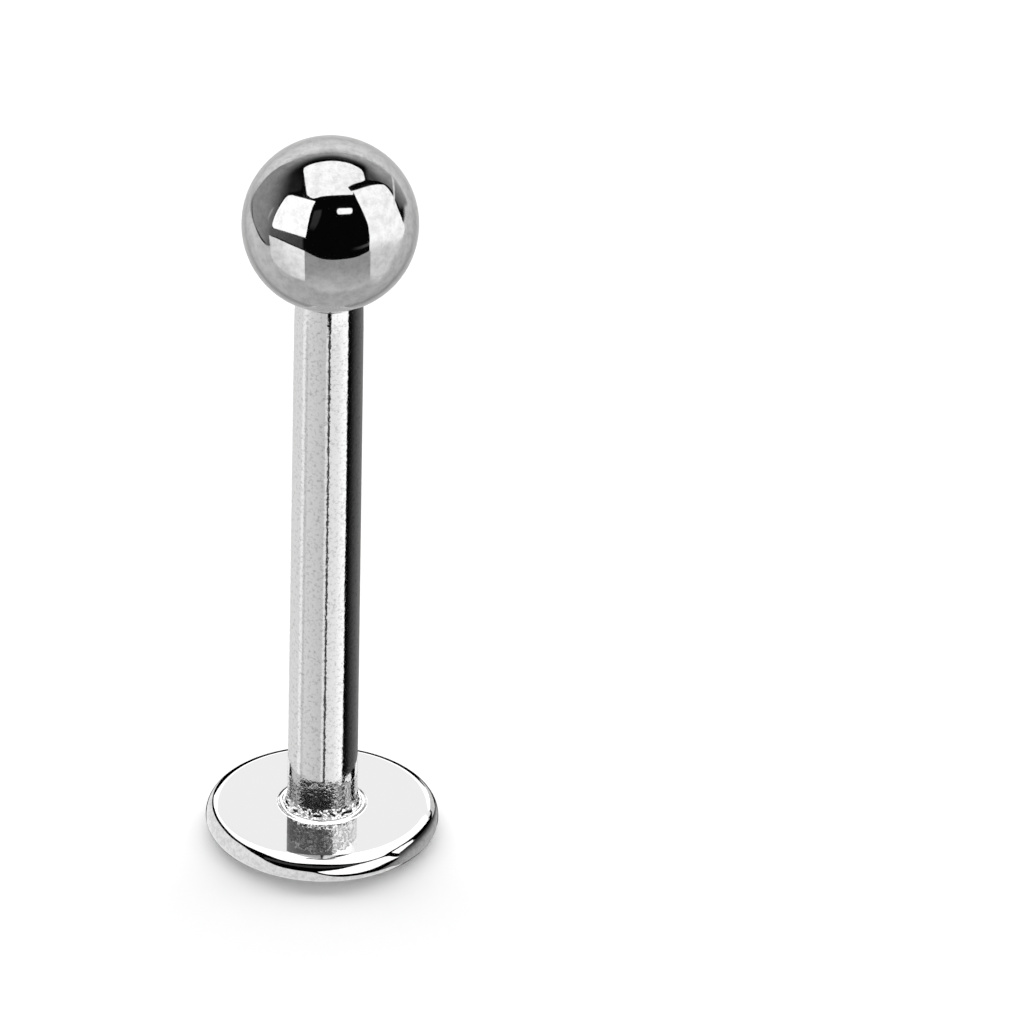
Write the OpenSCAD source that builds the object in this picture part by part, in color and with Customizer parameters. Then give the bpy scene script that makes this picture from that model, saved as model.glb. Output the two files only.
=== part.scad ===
// Labret stud, 16 gauge, internally threaded, shown fastened and standing on its disc.
// A round flat disc is welded to the foot of a hollow barrel. A polished ball carries a
// threaded pin that screws into the barrel's mouth. The origin is the centre of the disc's
// underside, and +Z runs up the barrel to the ball.

/* [Disc] */
// Diameter of the disc that lies inside the lip
disc_d = 4; // [3.5:0.1:6]
// Thickness of the disc, whose rim is fully rounded
disc_t = 0.5; // [0.4:0.02:0.6]

/* [Barrel] */
// Outside diameter of the barrel, which is the stud's gauge
barrel_d = 1.2; // [1.2:0.1:1.6]
// Length of the barrel from the disc's top face to the mouth
barrel_len = 10; // [6:0.5:16]
// Rounding of the mouth's outer edge
mouth_round = 0.03; // [0.02:0.005:0.03]
// Depth of the countersink in the mouth, on whose outer edge the ball sits
mouth_chamfer = 0.145; // [0.1:0.005:0.145]
// Reach of the weld's fillet up the barrel and out over the disc
weld_leg = 0.22; // [0.1:0.02:0.3]

/* [Ball] */
// Diameter of the ball
ball_d = 3; // [2.4:0.1:5]

/* [Threaded pin] */
// Largest diameter of the thread
thread_d = 0.8; // [0.6:0.02:0.8]
// Rise of the right-hand thread in one turn
thread_pitch = 0.225; // [0.175:0.025:0.25]
// Depth of the thread from crest to root
thread_depth = 0.09; // [0.04:0.01:0.1]
// Length of the pin below the ball's lowest point
pin_out = 1.6; // [1.4:0.05:2.4]
// Length over which the thread tapers towards the nose
lead_len = 0.7; // [0.4:0.05:0.8]
// Length of the smooth rounded nose
nose_len = 0.3; // [0.2:0.02:0.4]
// Diameter of the nose where the thread begins
nose_d = 0.52; // [0.3:0.02:0.54]
// Length of the plain shank that is fixed inside the ball
shank_len = 1.4; // [0.6:0.1:1.6]

/* [Fits] */
// Radial clearance between the thread's crests and the barrel's bore
bore_gap = 0.02; // [0.01:0.005:0.06]
// Height of the ball above its seat on the countersink's edge
seat_gap = 0.02; // [0.01:0.005:0.05]
// Room between the pin's nose and the bore's full depth
tip_gap = 0.3; // [0.1:0.05:0.6]
// Clearance between the pin's shank and its hole in the ball
shank_gap = 0.01; // [0.005:0.005:0.02]

/* [Hidden] */
$fn = 96;

// Disc and barrel
barrel_r = barrel_d / 2;
disc_r = disc_d / 2;
rim_r = disc_t / 2;
mouth_z = disc_t + barrel_len;
// The weld's hollow curve is a little flatter than a quarter circle
weld_flatness = 1.1;
weld_r = weld_leg * weld_flatness;
weld_c = (weld_leg + sqrt(2 * pow(weld_r, 2) - pow(weld_leg, 2))) / 2;

// Bore, with the cone that a drill leaves at its end, given by half its point's angle
drill_angle = 59;
bore_r = thread_d / 2 + bore_gap;
drill_h = bore_r / tan(drill_angle);
seat_r = bore_r + mouth_chamfer;

// The ball touches the circle where the countersink meets the mouth, less the seat's gap
ball_r = ball_d / 2;
ball_z = mouth_z + sqrt(pow(ball_r, 2) - pow(seat_r, 2)) + seat_gap;
ball_low_z = ball_z - ball_r;

// Pin
crest_r = thread_d / 2;
root_r = crest_r - thread_depth;
nose_r = nose_d / 2;
tip_z = ball_low_z - pin_out;
bore_end_z = tip_z - tip_gap;
// The thread stops just short of the ball
screw_len = pin_out - shank_gap;
// The plain shank is slimmer than the thread's root
shank_step = 0.03;
shank_r = root_r - shank_step;
shank_edge = 0.04;
shank_low = nose_len + lead_len;
shank_h = screw_len - shank_low + shank_gap + shank_len;

// Fineness of the screw's surface
screw_sides = 24;
rings_in_turn = 8;
nose_rings = 5;

// Extra length that carries a cut clear of the face it starts from
cut_over = 0.5;

// Half section of the disc, with its rim fully rounded
module disc_section() {
    square([disc_r - rim_r, disc_t]);
    translate([disc_r - rim_r, rim_r]) circle(r = rim_r);
}

// Half section of the weld between the disc and the barrel
module weld_section() {
    difference() {
        square([barrel_r + weld_leg, disc_t + weld_leg]);
        translate([barrel_r + weld_c, disc_t + weld_c]) circle(r = weld_r);
    }
}

// Half section of the barrel, with the mouth's outer edge rounded
module barrel_section() {
    square([barrel_r, mouth_z - mouth_round]);
    square([barrel_r - mouth_round, mouth_z]);
    translate([barrel_r - mouth_round, mouth_z - mouth_round]) circle(r = mouth_round);
}

// Half section of what is drilled out of the barrel
module bore_section() {
    polygon([
        [0, bore_end_z - drill_h],
        [bore_r, bore_end_z],
        [bore_r, mouth_z - mouth_chamfer],
        [seat_r, mouth_z],
        [seat_r, mouth_z + cut_over],
        [0, mouth_z + cut_over]
    ]);
}

// Disc, weld and barrel, which are one welded piece
module post() {
    color([0.76, 0.76, 0.77])
        rotate_extrude() {
            difference() {
                union() {
                    disc_section();
                    weld_section();
                    barrel_section();
                }
                bore_section();
            }
        }
}

// Ball with the blind hole that holds the pin's shank
module ball() {
    color([0.80, 0.80, 0.81])
        translate([0, 0, ball_z])
            difference() {
                sphere(r = ball_r);
                translate([0, 0, -ball_r - cut_over])
                    cylinder(r = shank_r + shank_gap, h = cut_over + shank_len + shank_gap);
            }
}

// A step from 0 to 1 that starts and ends level
function ease(x) = let (t = max(0, min(1, x))) t * t * (3 - 2 * t);

// Radius of the thread's crests at height s above the tip
function crest_at(s) =
    s < nose_len ? nose_r * sqrt(1 - pow(1 - s / nose_len, 2))
    : nose_r + (crest_r - nose_r) * min(1, (s - nose_len) / lead_len);

// Depth of the thread at height s, which fades in over its first turn
function depth_at(s) = thread_depth * ease((s - nose_len) / thread_pitch);

// Radius of the screw at turn angle a and height s, with rounded crests and roots
function screw_at(a, s) = crest_at(s) - depth_at(s) * (1 - cos(360 * s / thread_pitch - a)) / 2;

// Screw surface below the ball, with its tip at the origin
module screw() {
    thread_rings = ceil((screw_len - nose_len) / (thread_pitch / rings_in_turn));
    heights = concat(
        [for (i = [1 : nose_rings]) nose_len * (1 - cos(90 * i / nose_rings))],
        [for (i = [1 : thread_rings]) nose_len + (screw_len - nose_len) * i / thread_rings]
    );
    rings = len(heights);
    points = concat(
        [[0, 0, 0]],
        [for (s = heights) for (j = [0 : screw_sides - 1])
            let (a = 360 * j / screw_sides, r = screw_at(a, s))
            [r * cos(a), r * sin(a), s]]
    );
    // Index of point j on ring i
    function at(i, j) = 1 + i * screw_sides + j % screw_sides;
    tip = [for (j = [0 : screw_sides - 1]) [0, at(0, j), at(0, j + 1)]];
    sides = [for (i = [0 : rings - 2]) for (j = [0 : screw_sides - 1])
        each [[at(i, j), at(i + 1, j), at(i + 1, j + 1)],
              [at(i, j), at(i + 1, j + 1), at(i, j + 1)]]];
    top = [[for (j = [screw_sides - 1 : -1 : 0]) at(rings - 1, j)]];
    polyhedron(points = points, faces = concat(tip, sides, top));
}

// Screw and the plain shank that rises from its core into the ball
module threaded_pin() {
    color([0.70, 0.70, 0.71])
        translate([0, 0, tip_z])
            union() {
                screw();
                translate([0, 0, shank_low]) cylinder(r = shank_r, h = shank_h - shank_edge);
                translate([0, 0, shank_low + shank_h - shank_edge])
                    cylinder(r1 = shank_r, r2 = shank_r - shank_edge, h = shank_edge);
            }
}

post();
ball();
threaded_pin();
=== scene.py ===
import math

import bpy
import numpy as np
from bpy.props import FloatProperty, FloatVectorProperty, PointerProperty
from mathutils import Matrix, Vector


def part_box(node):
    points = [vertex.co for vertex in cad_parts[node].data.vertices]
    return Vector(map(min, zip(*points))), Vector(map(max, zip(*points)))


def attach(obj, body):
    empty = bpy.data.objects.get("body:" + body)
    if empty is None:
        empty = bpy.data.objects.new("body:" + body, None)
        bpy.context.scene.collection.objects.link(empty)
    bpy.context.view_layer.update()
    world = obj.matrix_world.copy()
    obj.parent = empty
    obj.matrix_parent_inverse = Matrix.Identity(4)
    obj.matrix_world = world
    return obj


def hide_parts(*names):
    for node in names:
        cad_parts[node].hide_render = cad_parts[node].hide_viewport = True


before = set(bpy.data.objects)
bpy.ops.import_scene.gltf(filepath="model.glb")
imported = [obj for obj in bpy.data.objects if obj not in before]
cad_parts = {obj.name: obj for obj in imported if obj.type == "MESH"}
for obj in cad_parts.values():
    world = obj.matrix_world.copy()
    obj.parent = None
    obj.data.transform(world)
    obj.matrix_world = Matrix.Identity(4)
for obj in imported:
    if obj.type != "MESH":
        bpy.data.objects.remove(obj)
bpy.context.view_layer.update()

bl_info = {
    "name": "Labret stud",
    "version": (1, 0, 0),
    "blender": (4, 5, 0),
    "location": "3D View > Sidebar > Labret stud",
    "description": "Makes a labret stud of surgical steel round its packed CAD model, and its studio",
    "category": "Object",
}

MM = 0.001
EVEN = (1, 1, 1)

# Heights and reaches that the frame gives, in millimetres
POST_LOW, POST_HIGH = (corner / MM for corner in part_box("post"))
BALL_LOW, BALL_HIGH = (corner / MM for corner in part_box("ball"))
PIN_LOW, PIN_HIGH = (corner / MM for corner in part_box("threaded_pin"))
MOUTH_Z = POST_HIGH.z
BALL_D = round(BALL_HIGH.x - BALL_LOW.x, 2)
BALL_Z = BALL_HIGH.z - BALL_D / 2
TIP_Z = PIN_LOW.z
DISC_D = min(POST_HIGH.x - POST_LOW.x, POST_HIGH.y - POST_LOW.y)


def linear(hex_colour):
    """Linear RGB of an sRGB hex value. Each part c gives c / 12.92 up to 0.04045, and above that
    ((c + 0.055) / 1.055) to the power 2.4."""
    values = [int(hex_colour[i:i + 2], 16) / 255 for i in (1, 3, 5)]
    return [c / 12.92 if c <= 0.04045 else ((c + 0.055) / 1.055) ** 2.4 for c in values]


def length(name, about, default_mm, least_mm, most_mm):
    """A property for a length, given in millimetres and kept in metres."""
    return FloatProperty(name=name, description=about, default=default_mm * MM, min=least_mm * MM,
                         max=most_mm * MM, precision=6, subtype="DISTANCE", unit="LENGTH")


def colour(name, about, hex_colour):
    """A property for a colour, given as an sRGB hex value and kept linear."""
    return FloatVectorProperty(name=name, description=about, default=linear(hex_colour),
                               min=0, max=1, size=3, subtype="COLOR")


class StudSizes(bpy.types.PropertyGroup):
    """Sizes of the stud. The ball's and the disc's diameters start as the frame has them"""

    ball_d: length("Ball", "Diameter of the ball", BALL_D, 2, 6)
    hole_d: length("Ball's hole", "Diameter of the blind hole that holds the pin's shank", 0.58, 0.4, 0.9)
    disc_d: length("Disc", "Diameter of the disc", DISC_D, 3, 6)
    disc_t: length("Disc's thickness", "Thickness of the disc, whose rim is fully rounded", 0.5, 0.3, 0.8)
    barrel_d: length("Barrel", "Outside diameter of the barrel", 1.2, 1, 1.6)
    mouth_taper: length("Mouth's taper", "How far the wall leans in up to the mouth", 0.026, 0, 0.026)
    mouth_round: length("Mouth's edge", "Rounding of the mouth's outer edge", 0.009, 0.003, 0.009)
    mouth_chamfer: length("Mouth's seat", "Depth of the countersink that the ball sits on",
                          0.145, 0.05, 0.145)
    bore_d: length("Bore", "Diameter over the crests of the barrel's internal thread", 0.84, 0.6, 1)
    bore_depth: length("Bore's depth", "Depth of the threaded part of the bore", 1.95, 1, 4)
    weld_reach: length("Weld", "Reach of the weld over the disc and up the barrel", 0.22, 0.1, 0.3)
    thread_d: length("Thread", "Largest diameter of the pin's thread", 0.8, 0.6, 0.82)
    thread_pitch: length("Pitch", "Rise of the right-hand thread in one turn", 0.225, 0.15, 0.3)
    thread_depth: length("Thread's depth", "Depth of the thread from crest to root", 0.09, 0.03, 0.12)
    thread_length: length("Thread's length", "Length of the pin below the ball", 1.59, 1, 2.4)
    lead_length: length("Lead", "Length over which the thread widens from the nose", 0.7, 0.3, 0.9)
    nose_length: length("Nose", "Length of the smooth rounded nose", 0.3, 0.1, 0.4)
    nose_d: length("Nose's width", "Diameter of the nose where the thread begins", 0.52, 0.3, 0.6)
    shank_d: length("Shank", "Diameter of the plain shank inside the ball", 0.56, 0.4, 0.7)


class StudColours(bpy.types.PropertyGroup):
    """Colours of the stud's steel and of the studio"""

    ball: colour("Ball", "Mirror-polished steel of the ball", "#D3D3D3")
    barrel: colour("Barrel", "Satin drawn steel of the barrel", "#D0D0D0")
    disc: colour("Disc", "Polished steel of the disc", "#D4D4D4")
    weld: colour("Weld", "Steel of the weld at the barrel's foot", "#DADADA")
    pin: colour("Pin", "Rolled steel of the threaded pin", "#C7C7C7")
    floor: colour("Floor", "Plain pale floor", "#F4F4F4")


# Mesh helpers, which work in millimetres

def line(start, stop, count):
    """Points (1 - t) start + t stop, where t = (1 - cos(pi k)) / 2 crowds them towards both ends."""
    t = (1 - np.cos(np.pi * np.linspace(0, 1, count)))[:, None] / 2
    return (1 - t) * np.array(start, float) + t * np.array(stop, float)


def arc(centre, radius, start, stop, count):
    """Points centre + radius (cos t, sin t) for t from start to stop in degrees."""
    t = np.radians(np.linspace(start, stop, count))
    return np.array(centre, float) + radius * np.stack([np.cos(t), np.sin(t)], axis=1)


def joined(*runs):
    """The runs of points one after another, without the points that repeat the one before."""
    points = np.concatenate(runs)
    apart = np.linalg.norm(np.diff(points, axis=0), axis=1) > 1e-6
    return points[np.concatenate([[True], apart])]


def turned(profile, sides):
    """Grid (r cos a, r sin a, z) of a profile of points (r, z), with a from 0 to 360 degrees."""
    a = np.linspace(0, 2 * np.pi, sides, endpoint=False)[None, :]
    r, z = profile[:, 0, None], profile[:, 1, None]
    return np.stack([r * np.cos(a), r * np.sin(a), z + 0 * a], axis=-1)


def ripple(a, t, amount, turns, rises, count, seed):
    """Sum of count waves cos(m a + 2 pi n t + p), with seeded m up to turns, n up to rises and phase p,
    scaled so that its mean square is amount^2."""
    draw = np.random.default_rng(seed)
    m = draw.integers(-turns, turns + 1, count)
    n = draw.integers(0, rises + 1, count)
    p = draw.uniform(0, 2 * np.pi, count)
    waves = np.cos(m * a[..., None] + 2 * np.pi * n * t[..., None] + p)
    return amount * math.sqrt(2 / count) * waves.sum(axis=-1)


def eased(x):
    """A step from 0 to 1 that starts and ends level: 3 x^2 - 2 x^3."""
    x = np.clip(x, 0, 1)
    return x * x * (3 - 2 * x)


def surface(name, grid, start_pole=None, end_pole=None, sharp_angle=40, values=()):
    """Mesh of a grid whose columns close round the axis.
    Face (r, c) joins points (r, c), (r, c + 1), (r + 1, c + 1) and (r + 1, c).
    Rows either end in the two poles or, without poles, close into a ring.
    Values are pairs of an attribute's name and its value for each point of the grid."""
    rows, cols = grid.shape[:2]
    points = grid.reshape(-1, 3)
    ring = start_pole is None
    r = np.arange(rows if ring else rows - 1)[:, None]
    c = np.arange(cols)[None, :]
    above, beside = (r + 1) % rows, (c + 1) % cols
    quads = np.stack([r * cols + c, r * cols + beside, above * cols + beside, above * cols + c], axis=-1)
    faces = quads.reshape(-1, 4).tolist()
    if not ring:
        first, last = len(points), len(points) + 1
        points = np.concatenate([points, [start_pole], [end_pole]])
        c, last_row = np.arange(cols), (rows - 1) * cols
        beside = (c + 1) % cols
        faces += np.stack([first + 0 * c, beside, c], axis=-1).tolist()
        faces += np.stack([last_row + c, last_row + beside, last + 0 * c], axis=-1).tolist()
    mesh = bpy.data.meshes.new(name)
    mesh.from_pydata((points * MM).tolist(), [], faces)
    mesh.polygons.foreach_set("use_smooth", np.ones(len(faces), bool))
    mesh.set_sharp_from_angle(angle=math.radians(sharp_angle))
    for title, value in values:
        at_points = np.concatenate([value.ravel(), np.zeros(len(points) - value.size)])
        mesh.attributes.new(title, "FLOAT", "POINT").data.foreach_set("value", at_points)
    mesh.update()
    piece = bpy.data.objects.new(name, mesh)
    bpy.context.scene.collection.objects.link(piece)
    return piece


def finished(piece, material, body, node):
    """Gives a piece its material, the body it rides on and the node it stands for."""
    piece.data.materials.append(material)
    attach(piece, body)
    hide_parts(node)


# Material helpers

def add(tree, kind, inputs, **settings):
    """Adds a node with its settings. Each input takes a value, or a link from another node's socket."""
    made = tree.nodes.new(kind)
    for name, value in settings.items():
        setattr(made, name, value)
    for name, value in inputs.items():
        if isinstance(value, bpy.types.NodeSocket):
            tree.links.new(value, made.inputs[name])
        else:
            made.inputs[name].default_value = value
    return made


def per_metre(size_mm):
    """Scale of a pattern whose features are size_mm across."""
    return 1 / (size_mm * MM)


def steel(name, shade, stain, stain_mm, spread, roughness, smear_mm, layers):
    """A steel, as its tree and its shader. One noise of features stain_mm across takes its colour from
    stain to shade over spread, and one of features smear_mm across takes its roughness from high to low.
    Its relief is a chain of noises, each given as its feature size in millimetres, its height in
    micrometres, its detail and its stretch on x, y and z."""
    material = bpy.data.materials.new(name)
    material.use_nodes = True
    tree = material.node_tree
    tree.nodes.clear()
    place = add(tree, "ShaderNodeTexCoord", {}).outputs["Object"]
    spots = add(tree, "ShaderNodeTexNoise", {"Vector": place, "Scale": per_metre(stain_mm), "Detail": 3.0,
                                             "Roughness": 0.7})
    tint = add(tree, "ShaderNodeValToRGB", {"Fac": spots.outputs["Fac"]})
    tint.color_ramp.elements[0].position = spread[0]
    tint.color_ramp.elements[0].color = (*stain, 1)
    tint.color_ramp.elements[1].position = spread[1]
    tint.color_ramp.elements[1].color = (*shade, 1)
    smear = add(tree, "ShaderNodeTexNoise", {"Vector": place, "Scale": per_metre(smear_mm), "Detail": 3.0})
    rough = add(tree, "ShaderNodeMapRange", {"Value": smear.outputs["Fac"], "From Min": 0.3,
                                             "From Max": 0.7, "To Min": roughness[1],
                                             "To Max": roughness[0]})
    shader = add(tree, "ShaderNodeBsdfPrincipled", {"Base Color": tint.outputs["Color"], "Metallic": 1.0,
                                                    "Roughness": rough.outputs["Result"]})
    normal = None
    for size_mm, height_um, detail, stretch in layers:
        drawn = add(tree, "ShaderNodeMapping", {"Vector": place, "Scale": stretch}).outputs["Vector"]
        relief = add(tree, "ShaderNodeTexNoise", {"Vector": drawn, "Scale": per_metre(size_mm),
                                                  "Detail": detail})
        bump = add(tree, "ShaderNodeBump", {"Height": relief.outputs["Fac"], "Strength": 1.0,
                                            "Distance": height_um * 1e-6})
        if normal:
            tree.links.new(normal, bump.inputs["Normal"])
        normal = bump.outputs["Normal"]
    tree.links.new(normal, shader.inputs["Normal"])
    add(tree, "ShaderNodeOutputMaterial", {"Surface": shader.outputs["BSDF"]})
    return material, shader


def blended(tree, shader, socket, share, value):
    """Takes a socket of the shader from what it has to a value, by a share from 0 to 1."""
    # A Mix node has separate sockets for colours and for plain numbers
    kind, first, second, result = ("RGBA", 6, 7, 2) if socket == "Base Color" else ("FLOAT", 2, 3, 0)
    now = shader.inputs[socket].links[0].from_socket
    mix = add(tree, "ShaderNodeMix", {0: share, first: now, second: value}, data_type=kind)
    tree.links.new(mix.outputs[result], shader.inputs[socket])


def pitted(tree, shader, share, lift):
    """Adds pits 0.06 mm across and 9 micrometres deep by a share, with lift as the step at its edge.
    It gives back their noise."""
    place = add(tree, "ShaderNodeTexCoord", {}).outputs["Object"]
    fleck = add(tree, "ShaderNodeTexNoise", {"Vector": place, "Scale": per_metre(0.06), "Detail": 2.0})
    pits = add(tree, "ShaderNodeMath", {0: fleck.outputs["Fac"], 1: lift}, operation="ADD").outputs[0]
    pits = add(tree, "ShaderNodeMath", {0: pits, 1: share}, operation="MULTIPLY").outputs[0]
    bump = add(tree, "ShaderNodeBump", {"Height": pits, "Strength": 1.0, "Distance": 9e-6,
                                        "Normal": shader.inputs["Normal"].links[0].from_socket})
    tree.links.new(bump.outputs["Normal"], shader.inputs["Normal"])
    return fleck.outputs["Fac"]


# Operators, one for each piece and one for the stage

class STUD_OT_ball(bpy.types.Operator):
    """Makes the polished ball with its blind hole"""

    bl_idname = "stud.ball"
    bl_label = "Ball"

    def execute(self, context):
        sizes = context.scene.stud_sizes
        radius, hole = sizes.ball_d / MM / 2, sizes.hole_d / MM / 2
        edge, room_over_pin = 0.02, 0.01
        hole_top = PIN_HIGH.z + room_over_pin
        # The small round edge touches the hole's wall and the ball's surface
        edge_r = hole + edge
        edge_z = BALL_Z - math.sqrt((radius - edge) ** 2 - edge_r ** 2)
        meet = -math.degrees(math.acos(edge_r / (radius - edge)))
        profile = joined(
            line((hole * 0.5, hole_top), (hole, hole_top), 3),
            line((hole, hole_top), (hole, edge_z), 12),
            arc((edge_r, edge_z), edge, 180, 360 + meet, 8),
            arc((0, BALL_Z), radius, meet, 89.3, 150),
        )
        piece = surface("polished_ball", turned(profile, 224), (0, 0, hole_top), (0, 0, BALL_Z + radius))
        # 316L surgical steel, turned to a ball and mirror polished on a buffing wheel. The eye sees the
        # studio almost undistorted, with soft waves and faint smears that the wheel has left.
        material, _ = steel("mirror_polished_316L_steel", context.scene.stud_colours.ball,
                            linear("#BCBCBC"), stain_mm=0.15, spread=(0.30, 0.60),
                            roughness=(0.02, 0.06), smear_mm=0.35,
                            layers=[(0.8, 1.6, 1.0, EVEN), (0.12, 0.18, 2.0, EVEN)])
        finished(piece, material, "top", "ball")
        return {"FINISHED"}


class STUD_OT_pin(bpy.types.Operator):
    """Makes the threaded pin with its nose, lead and shank"""

    bl_idname = "stud.pin"
    bl_label = "Threaded pin"

    def execute(self, context):
        sizes = context.scene.stud_sizes
        sides, rings_in_turn = 112, 26
        nose, lead, pitch = sizes.nose_length / MM, sizes.lead_length / MM, sizes.thread_pitch / MM
        nose_r, crest_r, shank_r = sizes.nose_d / MM / 2, sizes.thread_d / MM / 2, sizes.shank_d / MM / 2
        screw_len, depth = sizes.thread_length / MM, sizes.thread_depth / MM
        ledge, bevel = 0.01, 0.04
        # Heights above the tip, closer together on the nose
        on_nose = nose * (1 - np.cos(np.linspace(0.06, np.pi / 2, 18)))
        on_thread = np.linspace(nose, screw_len, int(rings_in_turn * (screw_len - nose) / pitch))[1:]
        s = np.concatenate([on_nose, on_thread])[:, None]
        a = np.linspace(0, 2 * np.pi, sides, endpoint=False)[None, :]
        # Radius r(a, s) = crest(s) - depth(s) (1 - cos(2 pi s / pitch - a)) / 2, a right-hand thread
        crest = np.where(s < nose, nose_r * np.sqrt(np.clip(1 - (1 - s / nose) ** 2, 0, 1)),
                         nose_r + (crest_r - nose_r) * np.clip((s - nose) / lead, 0, 1))
        fade = np.clip((s - nose) / pitch, 0, 1)
        cut = depth * fade * fade * (3 - 2 * fade) * (1 - np.cos(2 * np.pi * s / pitch - a)) / 2
        r = crest - cut
        screw = np.stack([r * np.cos(a), r * np.sin(a), TIP_Z + s + 0 * a], axis=-1)
        shank = turned(joined(
            line((shank_r + ledge, TIP_Z + screw_len), (shank_r, TIP_Z + screw_len), 2),
            line((shank_r, TIP_Z + screw_len), (shank_r, PIN_HIGH.z - bevel), 6),
            line((shank_r, PIN_HIGH.z - bevel), (shank_r - bevel, PIN_HIGH.z), 2),
        ), sides)
        piece = surface("screw_pin", np.concatenate([screw, shank]), (0, 0, TIP_Z), (0, 0, PIN_HIGH.z))
        # 316L surgical steel wire, thread rolled and then tumbled. The eye sees bright rounded crests,
        # dark roots and the faint grain that the tumbling leaves.
        material, _ = steel("thread_rolled_316L_steel", context.scene.stud_colours.pin,
                            linear("#8F8F8F"), stain_mm=0.08, spread=(0.36, 0.52),
                            roughness=(0.10, 0.22), smear_mm=0.08,
                            layers=[(0.12, 2.0, 2.0, EVEN), (0.03, 0.4, 2.0, EVEN)])
        finished(piece, material, "top", "threaded_pin")
        return {"FINISHED"}


class STUD_OT_barrel(bpy.types.Operator):
    """Makes the hollow barrel with its rounded mouth and internal thread"""

    bl_idname = "stud.barrel"
    bl_label = "Barrel"

    def execute(self, context):
        sizes = context.scene.stud_sizes
        radius, bore = sizes.barrel_d / MM / 2, sizes.bore_d / MM / 2
        taper, edge, seat = sizes.mouth_taper / MM, sizes.mouth_round / MM, sizes.mouth_chamfer / MM
        # The wall starts inside the disc, and the bore ends in the cone of a 118 degree drill
        foot_z = sizes.disc_t / MM * 0.6
        bore_end = MOUTH_Z - sizes.bore_depth / MM
        cone_h = bore / math.tan(math.radians(118 / 2))
        sides, groove_depth = 128, 0.065
        # The wall leans in by taper (0.4 t + 0.6 exp(-down / 0.25)), with t the share of the way up and
        # down the depth under the mouth
        z = line((0, foot_z), (0, MOUTH_Z - edge), 90)[:, 1]
        lean = taper * (0.4 * (z - foot_z) / (MOUTH_Z - foot_z) + 0.6 * np.exp((z - MOUTH_Z) / 0.25))
        outside = turned(joined(
            line((radius * 0.3, foot_z), (radius, foot_z), 3),
            np.stack([radius - lean, z], axis=1),
            arc((radius - taper - edge, MOUTH_Z - edge), edge, 0, 90, 10),
            line((radius - taper - edge, MOUTH_Z), (bore + seat, MOUTH_Z), 3),
            line((bore + seat, MOUTH_Z), (bore, MOUTH_Z - seat), 4),
        ), sides)
        # The internal thread is cut outwards from the bore where the pin's crests run:
        # r(a, z) = bore + depth(z) ((1 + cos(2 pi (z - tip) / pitch - a)) / 2) ^ 1.5
        pitch = sizes.thread_pitch / MM
        z = np.linspace(MOUTH_Z - seat, bore_end, 180)[1:, None]
        a = np.linspace(0, 2 * np.pi, sides, endpoint=False)[None, :]
        fade = np.clip((MOUTH_Z - seat - z) / (0.6 * pitch), 0, 1) * np.clip((z - bore_end) / pitch, 0, 1)
        r = bore + groove_depth * fade * ((1 + np.cos(2 * np.pi * (z - TIP_Z) / pitch - a)) / 2) ** 1.5
        inside = np.stack([r * np.cos(a), r * np.sin(a), z + 0 * a], axis=-1)
        cone = turned(line((bore, bore_end), (bore * 0.1, bore_end - cone_h * 0.9), 6)[1:], sides)
        piece = surface("barrel_tube", np.concatenate([outside, inside, cone]), (0, 0, foot_z),
                        (0, 0, bore_end - cone_h))
        # 316L surgical steel, drawn to a rod, drilled, tapped and tumble polished. The eye sees sharp
        # bands of light and dark along it, broken by fine speckle and faint lines from the drawing.
        # Near the foot the steel is duller and pitted, and painted shade darkens its colour in patches.
        material, shader = steel("tumbled_drawn_316L_steel", context.scene.stud_colours.barrel,
                                 linear("#A6A6A6"), stain_mm=0.055, spread=(0.28, 0.49),
                                 roughness=(0.05, 0.09), smear_mm=0.08,
                                 layers=[(0.6, 3.0, 1.0, (1, 1, 0.1)), (0.08, 2.4, 3.0, EVEN)])
        self.shade_and_dull_the_foot(material.node_tree, shader)
        finished(piece, material, "post", "post")
        return {"FINISHED"}

    def shade_and_dull_the_foot(self, tree, shader):
        """Below a line that one noise makes uneven, the steel is rougher and pitted, with painted shade in
        patches.
        """
        place = add(tree, "ShaderNodeTexCoord", {}).outputs["Object"]
        height = add(tree, "ShaderNodeSeparateXYZ", {0: place}).outputs["Z"]
        uneven = add(tree, "ShaderNodeTexNoise", {"Vector": place, "Scale": per_metre(0.13), "Detail": 3.0})
        lift = add(tree, "ShaderNodeMath", {0: uneven.outputs["Fac"], 1: -0.4 * MM, 2: height},
                   operation="MULTIPLY_ADD").outputs[0]
        foot = add(tree, "ShaderNodeMapRange", {"Value": lift, "From Min": 0.95 * MM,
                                                "From Max": 0.925 * MM})
        fleck = pitted(tree, shader, foot.outputs["Result"], lift=0.6)
        patch = add(tree, "ShaderNodeMapRange", {"Value": fleck, "From Min": 0.58, "From Max": 0.44,
                                                 "To Min": 0.3, "To Max": 1.0})
        dulled = add(tree, "ShaderNodeMath", {0: patch.outputs["Result"], 1: foot.outputs["Result"]},
                     operation="MULTIPLY").outputs[0]
        # Painted shade: the colour at the foot, by the joint, goes darker in patches
        blended(tree, shader, "Base Color", dulled, (*linear("#959595"), 1))
        blended(tree, shader, "Roughness", foot.outputs["Result"], 0.16)


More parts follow.
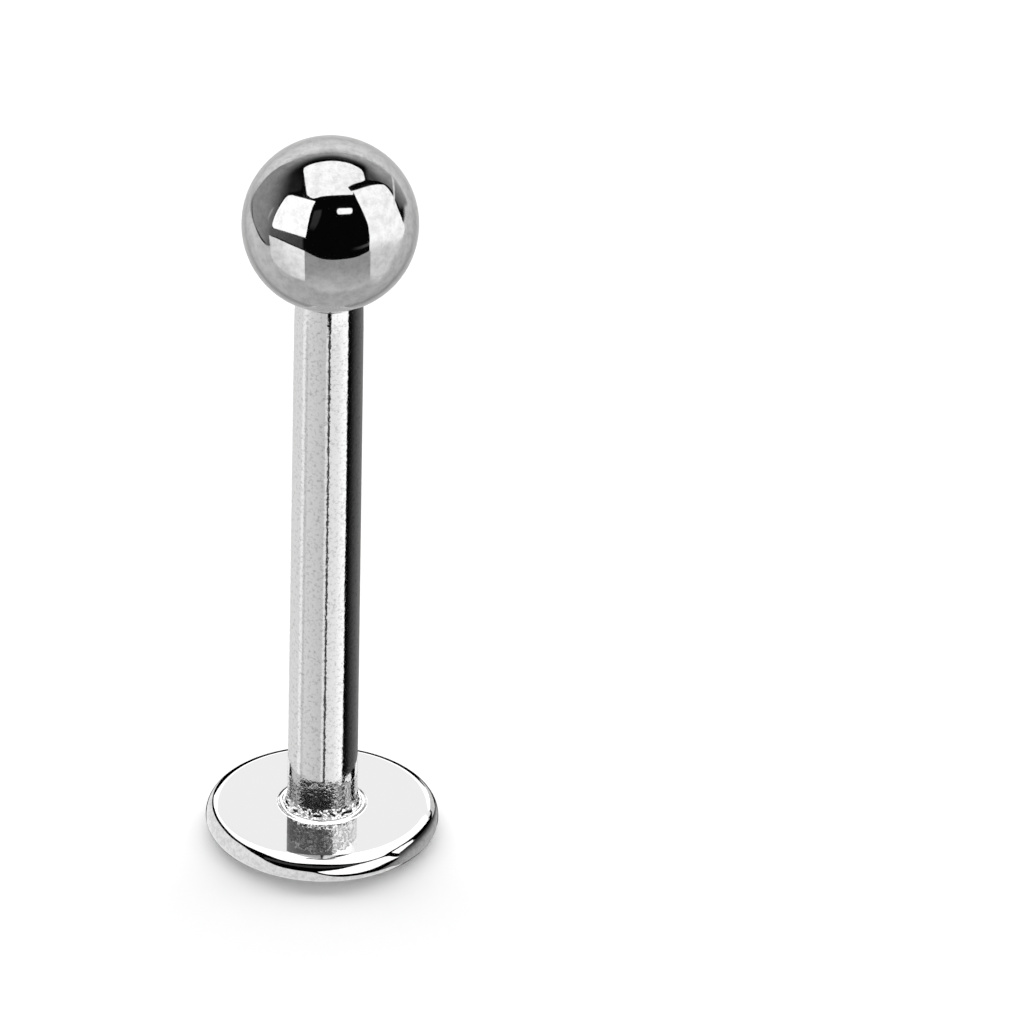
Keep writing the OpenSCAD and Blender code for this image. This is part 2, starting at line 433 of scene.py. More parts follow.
class STUD_OT_disc(bpy.types.Operator):
    """Makes the flat round disc with its fully rounded rim"""

    bl_idname = "stud.disc"
    bl_label = "Disc"

    def execute(self, context):
        sizes = context.scene.stud_sizes
        radius, thick = sizes.disc_d / MM / 2, sizes.disc_t / MM
        rim = thick / 2
        profile = joined(
            line((0.1, 0), (radius - rim, 0), 20),
            arc((radius - rim, rim), rim, -90, 90, 48),
            line((radius - rim, thick), (0.1, thick), 40),
        )
        grid = turned(profile, 256)
        # The flat face passes into the rim's finish over 0.03 mm, a little way down the round
        on_rim = eased((profile[:, 0] - (radius - 0.6 * rim)) / 0.03)[:, None] + 0 * grid[:, :, 0]
        piece = surface("flat_disc", grid, (0, 0, 0), (0, 0, thick), values=[("rim", on_rim)])
        # 316L surgical steel, stamped from sheet and buffed. The eye sees an almost flat mirror, and a
        # rim where the buffing has left smears and fine pits.
        material, shader = steel("buffed_316L_steel", context.scene.stud_colours.disc,
                                 linear("#BEBEBE"), stain_mm=0.09, spread=(0.34, 0.60),
                                 roughness=(0.03, 0.07), smear_mm=0.2,
                                 layers=[(0.6, 0.7, 1.0, EVEN), (0.08, 0.10, 2.0, EVEN)])
        tree = material.node_tree
        rim_share = add(tree, "ShaderNodeAttribute", {}, attribute_name="rim").outputs["Fac"]
        flat_share = add(tree, "ShaderNodeMath", {0: 1.0, 1: rim_share}, operation="SUBTRACT").outputs[0]
        blended(tree, shader, "Base Color", flat_share, (*context.scene.stud_colours.disc, 1))
        finished(piece, material, "post", "post")
        return {"FINISHED"}


class STUD_OT_weld(bpy.types.Operator):
    """Makes the weld's bead between the disc and the barrel"""

    bl_idname = "stud.weld"
    bl_label = "Weld"

    def execute(self, context):
        sizes = context.scene.stud_sizes
        barrel, reach, top = sizes.barrel_d / MM / 2, sizes.weld_reach / MM, sizes.disc_t / MM
        sides, rows = 480, 60
        toe_height, toe_crest, toe_inner = 0.042, 0.105, 0.065
        collar_height, collar_reach = 0.2, 0.026
        foot, sunk = reach - 0.03, 0.003
        # Height over the disc, out from the barrel, is toe + collar + half of rough, less what is sunk:
        # toe = toe_height cos^2 of the way from its crest out to the foot, or in over toe_inner, and
        # collar = collar_height exp(-out / collar_reach)
        t = np.linspace(1, 0, rows)[:, None]
        a = np.linspace(0, 2 * np.pi, sides, endpoint=False)[None, :]
        out = foot * t ** 1.4
        crest = toe_crest + ripple(a, 0 * a, 0.004, turns=9, rises=0, count=8, seed=12)
        way = np.where(out > crest, (out - crest) / (foot - crest), (crest - out) / toe_inner)
        toe = toe_height * np.cos(np.clip(way, 0, 1) * np.pi / 2) ** 2
        share = np.exp(-out / collar_reach)
        rough = ripple(a, share + 0 * a, 0.008, turns=40, rises=3, count=70, seed=11)
        rough = rough * eased((0.085 - out) / 0.04)
        r = barrel + out + rough
        z = top - sunk + toe + collar_height * share + 0.5 * rough
        fillet = np.stack([r * np.cos(a), r * np.sin(a), z], axis=-1)
        # Painted shade: near-black dashes lie in the crease on the collar, in two wandering broken lines
        low_way = 0.42 + ripple(a, 0 * a, 0.11, turns=15, rises=0, count=12, seed=21)
        high_way = 0.78 + ripple(a, 0 * a, 0.08, turns=15, rises=0, count=12, seed=23)
        low_breaks = eased((ripple(a, 0 * a, 1, turns=24, rises=0, count=20, seed=22) + 0.35) / 0.4)
        high_breaks = eased((ripple(a, 0 * a, 1, turns=30, rises=0, count=20, seed=24) - 0.5) / 0.4)
        low = np.exp(-((share - low_way) / 0.13) ** 2) * low_breaks
        high = np.exp(-((share - high_way) / 0.09) ** 2) * high_breaks
        crease_shade = eased((np.maximum(low, high) - 0.3) / 0.3)
        dull = eased((0.09 - out) / 0.05)
        # The bead closes inside the barrel's wall and under the disc's face
        wall, under = barrel - 0.03, top - 0.06
        hidden = turned(np.array([(wall, top + 0.16), (wall, under), (barrel + foot, under)]), sides)
        piece = surface("weld_bead", np.concatenate([fillet, hidden]), sharp_angle=70,
                        values=[("crease_shade", crease_shade), ("dull", dull)])
        # 316L surgical steel melted by a resistance weld and hardly cleaned. The eye sees a smooth
        # bright toe, black dashes of painted shade in the crease inside it, and a duller collar on the
        # barrel.
        material, shader = steel("fused_316L_steel", context.scene.stud_colours.weld,
                                 linear("#B0B0B0"), stain_mm=0.06, spread=(0.36, 0.52),
                                 roughness=(0.10, 0.18), smear_mm=0.05,
                                 layers=[(0.06, 1.4, 2.0, EVEN), (0.03, 0.3, 2.0, EVEN)])
        tree = material.node_tree
        # Painted shade: the base colour goes near black along the dashes in the crease
        scaled = add(tree, "ShaderNodeAttribute", {}, attribute_name="crease_shade").outputs["Fac"]
        dulled = add(tree, "ShaderNodeAttribute", {}, attribute_name="dull").outputs["Fac"]
        blended(tree, shader, "Base Color", scaled, (*linear("#121212"), 1))
        blended(tree, shader, "Roughness", dulled, 0.20)
        pitted(tree, shader, dulled, lift=0.0)
        finished(piece, material, "post", "post")
        return {"FINISHED"}


# Studio. Steel shows little but what it mirrors, so the ball, the disc with its weld, and the barrel have
# their own cards of light, linked to them alone. Cards are placed by where they show on the polished ball,
# or on the disc's rim: (u, v) are the parts of the surface's normal to the right and upwards in the view.
# The camera has its elevation and roll in degrees, and its aim and distance in millimetres.
ELEVATION = 30.61
ROLL = 1.109
AIM = (3.157, 0.0, 6.338)
DISTANCE = 350.0
LENS = 723.9

FORWARD = Vector((0, math.cos(math.radians(ELEVATION)), -math.sin(math.radians(ELEVATION))))
FLAT_UP = Vector((1, 0, 0)).cross(FORWARD)
LEAN = math.radians(ROLL)
CAMERA_RIGHT = math.cos(LEAN) * Vector((1, 0, 0)) + math.sin(LEAN) * FLAT_UP
CAMERA_UP = math.cos(LEAN) * FLAT_UP - math.sin(LEAN) * Vector((1, 0, 0))

# Each card: its name, its distance in metres, the glow at its two ends and those ends, the widths of its
# soft first edge, second edge, start and end as shares, and then its first and its second edge.
SHARP = (0, 0, 0, 0)
WHOLE = ((0, 0), (1, 0))
BALL_CARDS = [
    ("dark_room", 0.50, (0.003, 0.003), WHOLE, (0.09, 0, 0.02, 0.03),
     [(-.715, -.25), (-.795, -.145), (-.866, .02), (-.903, .18), (-.89, .325), (-.80, .46), (-.675, .578),
      (-.55, .675), (-.40, .755), (-.218, .82), (.029, .85), (.276, .80), (.47, .72), (.62, .62),
      (.74, .505), (.822, .34), (.85, .18), (.835, .03), (.75, -.12)],
     [(-.66, -.25), (-.45, -.33), (-.285, -.326), (-.106, -.393), (.052, -.409), (.276, -.382),
      (.456, -.315), (.56, -.2)]),
    ("left_wall", 0.49, (0.37, 0.02), ((-.70, .50), (-.42, .44)), (0, 0.06, 0, 0.25),
     [(-.715, -.222), (-.785, -.125), (-.850, .03), (-.868, .18), (-.856, .31), (-.783, .44), (-.67, .565),
      (-.54, .655), (-.40, .705), (-.31, .72)],
     [(-.655, -.235), (-.655, -.12), (-.62, .01), (-.585, .14), (-.525, .26), (-.45, .335), (-.36, .35),
      (-.305, .40), (-.31, .62)]),
    ("room_haze", 0.485, (0.40, 0.52), ((-.3, .7), (.3, .7)), (0.4, 0.95, 0.1, 0.1),
     [(-.76, .47), (-.675, .57), (-.575, .645), (-.475, .70), (-.375, .745), (-.28, .775), (-.16, .793),
      (-.04, .80), (.08, .80), (.20, .795), (.32, .775), (.44, .725), (.54, .675), (.64, .60), (.72, .53)],
     [(-.55, .43), (-.48, .50), (-.41, .555), (-.345, .605), (-.285, .645), (-.22, .685), (-.12, .73),
      (-.02, .745), (.10, .745), (.21, .71), (.30, .67), (.37, .63), (.43, .58), (.48, .52), (.54, .45)]),
    ("left_gap", 0.48, (0.15, 0.08), ((-.66, -.08), (-.38, -.20)), (0.1, 0.1, 0, 0.1),
     [(-.67, -.04), (-.55, -.06), (-.42, -.11), (-.29, -.15)],
     [(-.67, -.13), (-.56, -.17), (-.44, -.23), (-.29, -.30)]),
    ("right_wall", 0.49, (0.09, 0.54), ((.42, .55), (.58, .70)), (0.2, 0, 0.1, 0.1),
     [(.35, .755), (.48, .705), (.61, .62), (.735, .505), (.84, .34), (.89, .20)],
     [(.39, .51), (.47, .485), (.60, .455), (.68, .39), (.74, .27), (.79, .15)]),
    ("cable", 0.375, (0.85, 1.1), ((.69, .55), (.72, .2)), (0.3, 0.3, 0.15, 0.15),
     [(.668, .585), (.690, .46), (.702, .33), (.712, .19)],
     [(.695, .575), (.718, .46), (.728, .33), (.726, .19)]),
    ("top_softbox", 0.40, (1.42, 1.5), ((.3, .5), (.05, .5)), SHARP,
     [(-.297, .585), (-.288, .625), (-.24, .652), (-.173, .675), (-.07, .695), (.029, .702), (.12, .695),
      (.209, .676), (.29, .642), (.35, .602), (.375, .555), (.389, .490)],
     [(-.262, .36), (-.25, .315), (-.20, .285), (-.15, .285), (-.09, .303), (0, .313), (.10, .318),
      (.20, .322), (.255, .325), (.225, .36), (.215, .39), (.30, .445)]),
    ("softbox_frame", 0.385, (0.002, 0.002), WHOLE, SHARP,
     [(.195, .405), (.276, .448), (.40, .478), (.52, .483), (.62, .445)],
     [(.235, .362), (.30, .385), (.40, .415), (.52, .440), (.60, .440)]),
    ("right_softbox", 0.39, (0.93, 1.48), ((.64, -.30), (.60, -.12)), (0, 0, 0, 0.10),
     [(.254, .364), (.389, .409), (.50, .44), (.591, .443), (.665, .375), (.712, .295), (.753, .19),
      (.808, .05), (.835, -.05), (.80, -.20)],
     [(.254, .364), (.31, .25), (.366, .135), (.403, .05), (.427, -.022), (.445, -.157), (.456, -.315),
      (.60, -.36), (.72, -.32)]),
    ("right_sweep", 0.43, (0.93, 0.93), WHOLE, (0.25, 0, 0, 0.2),
     [(.87, .02), (.86, -.15), (.80, -.33), (.70, -.50), (.58, -.64), (.47, -.72)],
     [(.70, -.0), (.60, -.12), (.456, -.25), (.45, -.40), (.45, -.55), (.44, -.68)]),
    ("left_softbox", 0.39, (1.66, 1.66), WHOLE, SHARP,
     [(-.425, .318), (-.485, .302), (-.55, .213), (-.605, .111), (-.645, .0), (-.632, -.045)],
     [(-.162, .247), (-.192, .185), (-.219, .10), (-.243, .0), (-.258, -.08), (-.276, -.158)]),
    ("softbox_edge", 0.42, (0.42, 0.42), WHOLE, (0.3, 0.3, 0.3, 0.3),
     [(-.65, .20), (-.69, .11), (-.715, .03)], [(-.605, .20), (-.655, .11), (-.69, .03)]),
    ("lower_card", 0.39, (0.95, 1.28), ((-.62, -.42), (-.40, -.28)), (0, 0.08, 0.02, 0),
     [(-.689, -.125), (-.60, -.163), (-.512, -.205), (-.40, -.255), (-.286, -.308)],
     [(-.665, -.37), (-.62, -.45), (-.55, -.52), (-.42, -.605), (-.286, -.655)]),
    ("low_backdrop", 0.42, (0.42, 0.74), ((0, -.42), (0, -.80)), (0, 0.15, 0, 0),
     [(-.285, -.31), (-.106, -.393), (.052, -.409), (.276, -.382), (.456, -.30)],
     [(-.285, -.72), (-.1, -.79), (.1, -.80), (.28, -.77), (.45, -.70)]),
    ("dim_panel", 0.47, (0.045, 0.035), ((-.14, .14), (-.20, -.05)), (0.15, 0.2, 0.1, 0.3),
     [(-.175, .15), (-.195, .09), (-.22, .0), (-.245, -.08)],
     [(-.08, .165), (-.095, .08), (-.125, .0), (-.18, -.10)]),
    ("dim_shelf", 0.47, (0.02, 0.10), ((.25, -.26), (.44, -.24)), (0.4, 0.4, 0.4, 0),
     [(.22, -.27), (.34, -.245), (.45, -.20)], [(.22, -.32), (.34, -.295), (.45, -.25)]),
    ("lamp", 0.35, (1.62, 1.62), WHOLE, SHARP,
     [(.080, .145), (.098, .166), (.17, .170), (.235, .172), (.252, .154)],
     [(.080, .122), (.098, .102), (.17, .105), (.230, .110), (.248, .126)]),
]
DISC_CARDS = [
    ("overhead_softbox", 0.20, (1.9, 1.9), WHOLE, SHARP,
     [(-.447, .726), (-.385, .757), (-.33, .777), (-.307, .745), (-.30, .712), (-.27, .69), (-.20, .69),
      (-.13, .703), (-.083, .726), (-.04, .77), (.02, .805), (.08, .82), (.15, .824), (.3, .782),
      (.43, .719), (.53, .65), (.60, .60)],
     [(-.437, .70), (-.428, .62), (-.437, .541), (-.413, .458), (-.371, .42), (-.33, .37), (-.27, .25),
      (-.20, .19), (-.11, .195), (0, .205), (.138, .165), (.279, .15), (.35, .17), (.415, .23),
      (.42, .36), (.445, .50), (.48, .575), (.53, .63), (.585, .61)]),
    ("back_wall", 0.20, (1.27, 1.27), WHOLE, SHARP,
     [(-.325, .774), (-.285, .796), (-.233, .823), (-.18, .842), (-.08, .868), (0, .874), (.08, .870),
      (.18, .848), (.31, .802), (.46, .73), (.56, .665)],
     [(-.335, .765), (-.312, .745), (-.305, .710), (-.27, .685), (-.20, .685), (-.13, .698), (-.08, .721),
      (-.037, .765), (.02, .80), (.08, .816), (.15, .820), (.3, .780), (.43, .719), (.53, .65)]),
    ("back_wall_edge", 0.20, (1.9, 1.9), WHOLE, SHARP,
     [(-.50, .765), (-.34, .843), (-.16, .893), (0, .906), (.17, .90), (.33, .862), (.44, .825)],
     [(-.46, .725), (-.385, .752), (-.325, .774), (-.285, .796), (-.233, .823), (-.18, .842),
      (-.08, .868), (0, .874), (.08, .870), (.18, .848), (.31, .802), (.46, .73)]),
    ("left_wall_low", 0.20, (1.15, 1.02), ((-.8, 0), (0, -.9)), SHARP,
     [(-.605, .78), (-.74, .65), (-.88, .43), (-.97, .15), (-.98, -.15), (-.90, -.41), (-.73, -.66),
      (-.46, -.87), (-.15, -.975), (.15, -.975), (.41, -.89), (.60, -.76)],
     [(-.60, .76), (-.585, .68), (-.56, .60), (-.54, .54), (-.535, .44), (-.493, .344), (-.487, .216),
      (-.458, .075), (-.415, -.11), (-.336, -.241), (-.20, -.31), (-.08, -.36), (-.02, -.47),
      (.05, -.58), (.155, -.69), (.29, -.70), (.43, -.675), (.57, -.64)]),
    ("side_softbox", 0.20, (1.9, 1.9), WHOLE, SHARP,
     [(-.03, -.31), (.06, -.24), (.159, -.154), (.24, -.04), (.312, .048), (.39, .115), (.455, .15),
      (.51, .09), (.60, -.08), (.64, -.14)],
     [(-.025, -.34), (.05, -.47), (.159, -.535), (.302, -.534), (.445, -.424), (.549, -.242),
      (.60, -.185), (.637, -.158)]),
    ("side_window", 0.20, (1.9, 1.9), WHOLE, SHARP,
     [(.462, .285), (.485, .405), (.56, .425)], [(.595, .06), (.607, .22), (.618, .33)]),
    ("right_wall_low", 0.20, (0.04, 0.56), ((.58, .02), (.88, -.06)), SHARP,
     [(.84, .50), (.90, .40), (.97, .18), (.98, -.15), (.92, -.38), (.79, -.6), (.62, -.75)],
     [(.69, .50), (.635, .38), (.615, .20), (.61, .05), (.635, -.12), (.64, -.27), (.57, -.46),
      (.46, -.66)]),
    ("right_ring", 0.20, (0.95, 0.8), WHOLE, SHARP,
     [(.44, .855), (.52, .825), (.594, .772), (.66, .715), (.70, .668), (.74, .605), (.787, .53)],
     [(.44, .825), (.46, .745), (.515, .705), (.555, .68), (.61, .64), (.665, .58), (.71, .52)]),
    ("far_room", 0.20, (0.06, 0.06), WHOLE, SHARP,
     [(-.40, .17), (-.2, .10), (0, .06), (.2, .07), (.32, .10)],
     [(-.40, .05), (-.2, -.03), (0, -.07), (.15, -.03), (.26, .0)]),
]

# What the barrel mirrors: azimuth in degrees from the camera's side towards +X, and glow
BARREL_GLOW = [
    (-180, .80), (-150, .90), (-128, 1.03), (-93, 1.05), (-92, 1.30), (-81, 1.30), (-80, .98), (-76, .82),
    (-71, .84), (-68, 1.0), (-30, .90), (-10, .83), (-7, .86), (-6, 1.2), (1, 1.2), (1.5, .06), (8, .06),
    (8.5, 1.3), (12, 1.16), (36, 1.24), (47, 1.42), (60, 1.58), (68, 1.60), (68.5, 0), (80, .005),
    (90, .03), (102, .08), (114, .12), (130, .18), (148, .24), (180, .30)]
# The same where the wall leans in at the mouth, so that it mirrors what is less far down
MOUTH_GLOW = [
    (-180, .8), (-128, 1.0), (-93, 1.05), (-80, 1.3), (-60, 1.0), (-10, .86), (-5, 1.1), (-3.5, 0),
    (8.5, 0), (9, 1.5), (60, 1.6), (67, 1.6), (67.5, 0), (84, .02), (102, .08), (130, .18), (180, .3)]
MOUTH_ABOVE = -26.5
# The same for what it mirrors by way of the disc, which is near the camera's own elevation
FOOT_GLOW = [(-180, .44), (-130, .33), (-60, .21), (36, .21), (41, 2.9), (90, 2.8), (180, 1.3)]
FOOT_ELEVATIONS = (24, 40)
# What the ball shows of the barrel is mirrored further down, where the room is plain
PLAIN_BELOW, PLAIN_GLOW = -38, 0.88

# Points along and across each card, and radii in metres of the ball's tent, the weld's fill and the
# barrel's ring
CARD_COLUMNS, CARD_ROWS = 72, 40
TENT_RADIUS, FILL_RADIUS, RING_RADIUS = 0.6, 0.18, 0.3


def mirrored(u, v):
    """Direction that the camera sees in a mirror whose normal is (u, v, w), w = sqrt(1 - u^2 - v^2):
    (2 w u, 2 w v, 2 w^2 - 1) on the camera's right, up and backward axes."""
    w = np.sqrt(np.clip(1 - u * u - v * v, 0, 1))
    axes = np.array([CAMERA_RIGHT, CAMERA_UP, -FORWARD])
    return np.stack([2 * w * u, 2 * w * v, 2 * w * w - 1], axis=-1) @ axes


def curve(points, count):
    """Catmull-Rom curve through points a, b, c, d ..., evenly along its chords:
    (2 b + (c - a) t + (2 a - 5 b + 4 c - d) t^2 + (3 b - a - 3 c + d) t^3) / 2 between b and c."""
    inner = np.array(points, float)
    p = np.concatenate([[2 * inner[0] - inner[1]], inner, [2 * inner[-1] - inner[-2]]])
    run = np.concatenate([[0], np.cumsum(np.linalg.norm(np.diff(inner, axis=0), axis=1))])
    at = np.interp(np.linspace(0, run[-1], count), run, np.arange(len(inner)))
    i = np.minimum(at.astype(int), len(inner) - 2)
    t = (at - i)[:, None]
    a, b, c, d = p[i], p[i + 1], p[i + 2], p[i + 3]
    square, cubic = 2 * a - 5 * b + 4 * c - d, 3 * b - a - 3 * c + d
    return (2 * b + (c - a) * t + square * t ** 2 + cubic * t ** 3) / 2


def glow_material(name, added):
    """Light that covers what is behind it by the share in its cover attribute, or is added to it."""
    material = bpy.data.materials.new(name)
    material.use_nodes = True
    # Only what mirrors a card finds it, so no ray is sent towards it on purpose
    material.cycles.emission_sampling = "NONE"
    tree = material.node_tree
    tree.nodes.clear()
    glow = add(tree, "ShaderNodeAttribute", {}, attribute_name="glow").outputs["Fac"]
    light = add(tree, "ShaderNodeEmission", {"Strength": glow}).outputs[0]
    clear = add(tree, "ShaderNodeBsdfTransparent", {}).outputs[0]
    if added:
        whole = add(tree, "ShaderNodeAddShader", {0: clear, 1: light})
    else:
        cover = add(tree, "ShaderNodeAttribute", {}, attribute_name="cover").outputs["Fac"]
        whole = add(tree, "ShaderNodeMixShader", {0: cover, 1: clear, 2: light})
    add(tree, "ShaderNodeOutputMaterial", {"Surface": whole.outputs[0]})
    return material


def card(name, grid, glow, cover, material, group):
    """Open mesh of a grid with two values at each point for its material, seen only by what mirrors it."""
    rows, cols = grid.shape[:2]
    r, c = np.arange(rows - 1)[:, None], np.arange(cols - 1)[None, :]
    first = r * cols + c
    faces = np.stack([first, first + 1, first + cols + 1, first + cols], axis=-1)
    mesh = bpy.data.meshes.new(name)
    mesh.from_pydata(grid.reshape(-1, 3).tolist(), [], faces.reshape(-1, 4).tolist())
    for title, values in (("glow", glow), ("cover", cover)):
        mesh.attributes.new(title, "FLOAT", "POINT").data.foreach_set("value", values.ravel())
    mesh.materials.append(material)
    made = bpy.data.objects.new(name, mesh)
    bpy.context.scene.collection.objects.link(made)
    made.visible_camera = made.visible_diffuse = made.visible_shadow = False
    made.light_linking.receiver_collection = group


def mirror_card(centre, material, group, name, distance, strengths, ends, soft, first, second):
    """Card whose grid runs from its first to its second edge: (1 - t) first(s) + t second(s) on (u, v)."""
    s, t = np.linspace(0, 1, CARD_COLUMNS)[None, :], np.linspace(0, 1, CARD_ROWS)[:, None]
    first, second = curve(first, CARD_COLUMNS), curve(second, CARD_COLUMNS)
    u = (1 - t) * first[:, 0] + t * second[:, 0]
    v = (1 - t) * first[:, 1] + t * second[:, 1]
    (u0, v0), (u1, v1) = ends
    way = ((u - u0) * (u1 - u0) + (v - v0) * (v1 - v0)) / ((u1 - u0) ** 2 + (v1 - v0) ** 2)
    glow = strengths[0] + (strengths[1] - strengths[0]) * eased(way)
    cover = np.ones_like(u)
    for share, width in zip((t + 0 * s, 1 - t + 0 * s, s + 0 * t, 1 - s + 0 * t), soft):
        if width:
            cover = cover * eased(share / width)
    card(name, centre + distance * mirrored(u, v), glow, cover, material, group)


def sphere_grid(azimuths, elevations):
    """Directions (cos e sin a, -cos e cos a, sin e), azimuth a from the camera's side towards +X."""
    a, e = np.radians(azimuths)[None, :], np.radians(elevations)[:, None]
    return np.stack([np.cos(e) * np.sin(a), -np.cos(e) * np.cos(a), np.sin(e) + 0 * a], axis=-1)


def receivers(name, *pieces):
    """Collection of the pieces that a light reaches."""
    group = bpy.data.collections.new(name)
    for piece in pieces:
        group.objects.link(bpy.data.objects[piece])
    return group


class STUD_OT_stage(bpy.types.Operator):
    """Makes the floor, the studio's light and the camera"""

    bl_idname = "stud.stage"
    bl_label = "Stage"

    def execute(self, context):
        scene = context.scene
        scene.view_settings.view_transform = "Standard"
        self.light_the_room(scene)
        self.lay_the_floor(scene)
        self.hang_the_cards()
        self.place_the_camera(scene)
        return {"FINISHED"}

    def light_the_room(self, scene):
        """The room behind the floor is white, and lights nothing."""
        world = bpy.data.worlds.new("pale_room")
        scene.world = world
        world.use_nodes = True
        background = world.node_tree.nodes["Background"]
        background.inputs["Color"].default_value = (1, 1, 1, 1)
        background.inputs["Strength"].default_value = 1.2
        world.cycles_visibility.glossy = world.cycles_visibility.diffuse = False

    def lay_the_floor(self, scene):
        """A wide flat floor just under the disc, with a wide lamp overhead and a long one behind it. The
        steel doesn't mirror it, and the cards take its place there."""
        half, z = 1.5, -0.000001
        mesh = bpy.data.meshes.new("floor")
        corners = [(-half, -half, z), (half, -half, z), (half, half, z), (-half, half, z)]
        mesh.from_pydata(corners, [], [(0, 1, 2, 3)])
        material = bpy.data.materials.new("painted_floor")
        material.use_nodes = True
        tree = material.node_tree
        tree.nodes.clear()
        shader = add(tree, "ShaderNodeBsdfDiffuse", {"Color": (*scene.stud_colours.floor, 1)})
        add(tree, "ShaderNodeOutputMaterial", {"Surface": shader.outputs["BSDF"]})
        mesh.materials.append(material)
        floor = bpy.data.objects.new("floor", mesh)
        scene.collection.objects.link(floor)
        floor.visible_glossy = floor.visible_shadow = False
        group = receivers("lit_by_the_lamps", "floor")
        for name, place, size, glow in (("overhead_lamp", (0, 0, 1.6), (3.2, 3.2), 0.92),
                                        ("back_lamp", (0, 1.0, 0.75), (5.0, 0.8), 4.0)):
            lamp = bpy.data.lights.new(name, "AREA")
            lamp.shape = "RECTANGLE"
            lamp.size, lamp.size_y = size
            # An area light of P watts and area A has the radiance P / (pi A)
            lamp.energy = glow * math.pi * size[0] * size[1]
            light = bpy.data.objects.new(name, lamp)
            scene.collection.objects.link(light)
            turn = Vector(place).to_track_quat("Z", "Y").to_matrix().to_4x4()
            light.matrix_world = Matrix.Translation(place) @ turn
            light.light_linking.receiver_collection = group
            light.visible_camera = light.visible_glossy = False

    def hang_the_cards(self):
        """The ball's light tent and its cards, the disc's cards, the weld's fill and the barrel's ring."""
        covering, adding = glow_material("card_glow", False), glow_material("clear_glow", True)
        on_ball = receivers("lit_by_the_ball_cards", "polished_ball", "screw_pin")
        on_disc = receivers("lit_by_the_disc_cards", "flat_disc", "weld_bead")
        on_weld = receivers("lit_by_the_weld_fill", "weld_bead")
        on_barrel = receivers("lit_by_the_barrel_ring", "barrel_tube")
        ball_centre, disc_centre = np.array([0, 0, BALL_Z * MM]), np.array([0, 0, 0.4 * MM])

        # The tent is brighter towards the camera's up side and dimmer behind the ball, where its lower
        # half has a dark fold
        way = sphere_grid(np.linspace(-180, 180, 145), np.linspace(-89.5, 89.5, 90))
        up, behind = way @ np.array(CAMERA_UP), way @ np.array(FORWARD)
        glow = 0.80 + 0.26 * up - 0.06 * (way @ np.array(CAMERA_RIGHT))
        fold = np.exp(-((behind - 0.81) / 0.06) ** 2) * (0.08 + 0.24 * eased((0.1 - up) / 0.5))
        glow = glow * (1 - 0.22 * eased((behind - 0.5) / 0.42)) * (1 - fold)
        card("light_tent", ball_centre + TENT_RADIUS * way, glow, np.ones_like(glow), covering, on_ball)
        for row in BALL_CARDS:
            mirror_card(ball_centre, covering, on_ball, *row)
        for row in DISC_CARDS:
            mirror_card(disc_centre, adding, on_disc, *row)
        card("weld_fill", disc_centre + FILL_RADIUS * way, 0 * glow + 0.5, 0 * glow + 1, adding, on_weld)

        # Just under the ball's front, a small card hides the disc, which mirrors its own bright cards
        half_width, half_depth, forward, gap = 0.72, 0.34, 1.20, 0.06
        reach, turn = np.linspace(0, 1, 16)[:, None], np.linspace(0, 2 * np.pi, 49)[None, :]
        oval = np.stack([half_width * reach * np.cos(turn), half_depth * reach * np.sin(turn) - forward,
                         BALL_LOW.z - gap + 0 * reach * turn], axis=-1) * MM
        card("disc_screen", oval, 0.57 + 0 * reach * turn, eased((1 - reach) / 0.3) + 0 * turn, covering,
             on_ball)

        azimuths = np.unique(np.concatenate([np.linspace(-180, 180, 181), [a for a, _ in BARREL_GLOW],
                                             [a for a, _ in FOOT_GLOW]]))
        low, high = FOOT_ELEVATIONS
        edges = np.array([PLAIN_BELOW, MOUTH_ABOVE, low, high])
        elevations = np.sort(np.concatenate([[-88, -60, -30, 0, 60, 88], edges - 0.1, edges + 0.1]))
        elevations = elevations[:, None]
        along, by_the_mouth, by_the_disc = (np.interp(azimuths, *zip(*glow))[None, :]
                                            for glow in (BARREL_GLOW, MOUTH_GLOW, FOOT_GLOW))
        glow = np.where(elevations < MOUTH_ABOVE, along, by_the_mouth)
        glow = np.where(elevations < PLAIN_BELOW, PLAIN_GLOW, glow)
        glow = np.where((elevations > low) & (elevations < high), by_the_disc, glow)
        ring_centre = np.array([0, 0, MOUTH_Z / 2 * MM])
        place = ring_centre + RING_RADIUS * sphere_grid(azimuths, elevations[:, 0])
        card("barrel_ring", place, glow, np.ones_like(glow), adding, on_barrel)

    def place_the_camera(self, scene):
        """The camera looks down on the stud from in front, with the photo's slight roll."""
        lens = bpy.data.cameras.new("camera")
        lens.lens, lens.sensor_width = LENS, 36
        lens.clip_start, lens.clip_end = 0.01, 10
        camera = bpy.data.objects.new("camera", lens)
        scene.collection.objects.link(camera)
        turn = Matrix((CAMERA_RIGHT, CAMERA_UP, -FORWARD)).transposed().to_4x4()
        camera.matrix_world = Matrix.Translation((Vector(AIM) - FORWARD * DISTANCE) * MM) @ turn
        scene.camera = camera


class STUD_PT_panel(bpy.types.Panel):
    """Lists the stud's pieces, sizes and colours"""

    bl_idname = "STUD_PT_panel"
    bl_label = "Labret stud"
    bl_space_type = "VIEW_3D"
    bl_region_type = "UI"
    bl_category = "Labret stud"

    def draw(self, context):
        column = self.layout.column()
        for operator in OPERATORS:
            column.operator(operator.bl_idname)
        for group in (context.scene.stud_sizes, context.scene.stud_colours):
            column.separator()
            for name in group.__annotations__:
                column.prop(group, name)


OPERATORS = (STUD_OT_disc, STUD_OT_barrel, STUD_OT_weld, STUD_OT_pin, STUD_OT_ball, STUD_OT_stage)
CLASSES = (StudSizes, StudColours, *OPERATORS, STUD_PT_panel)


def register():
    for cls in CLASSES:
        bpy.utils.register_class(cls)
    bpy.types.Scene.stud_sizes = PointerProperty(type=StudSizes)
    bpy.types.Scene.stud_colours = PointerProperty(type=StudColours)


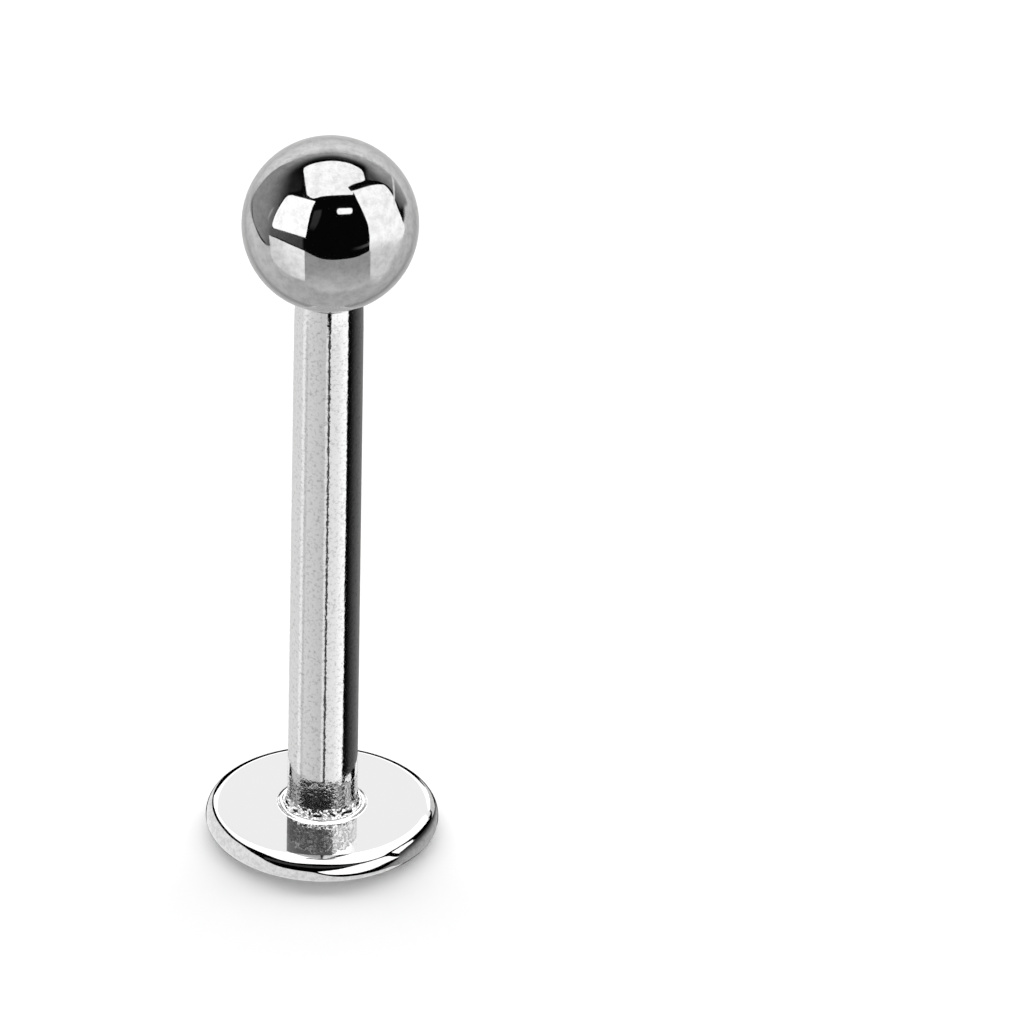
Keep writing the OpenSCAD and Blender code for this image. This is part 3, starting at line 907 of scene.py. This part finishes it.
def unregister():
    del bpy.types.Scene.stud_colours
    del bpy.types.Scene.stud_sizes
    for cls in reversed(CLASSES):
        bpy.utils.unregister_class(cls)


def main():
    register()
    bpy.ops.stud.disc()
    bpy.ops.stud.barrel()
    bpy.ops.stud.weld()
    bpy.ops.stud.pin()
    bpy.ops.stud.ball()
    bpy.ops.stud.stage()


if __name__ == "__main__":
    main()
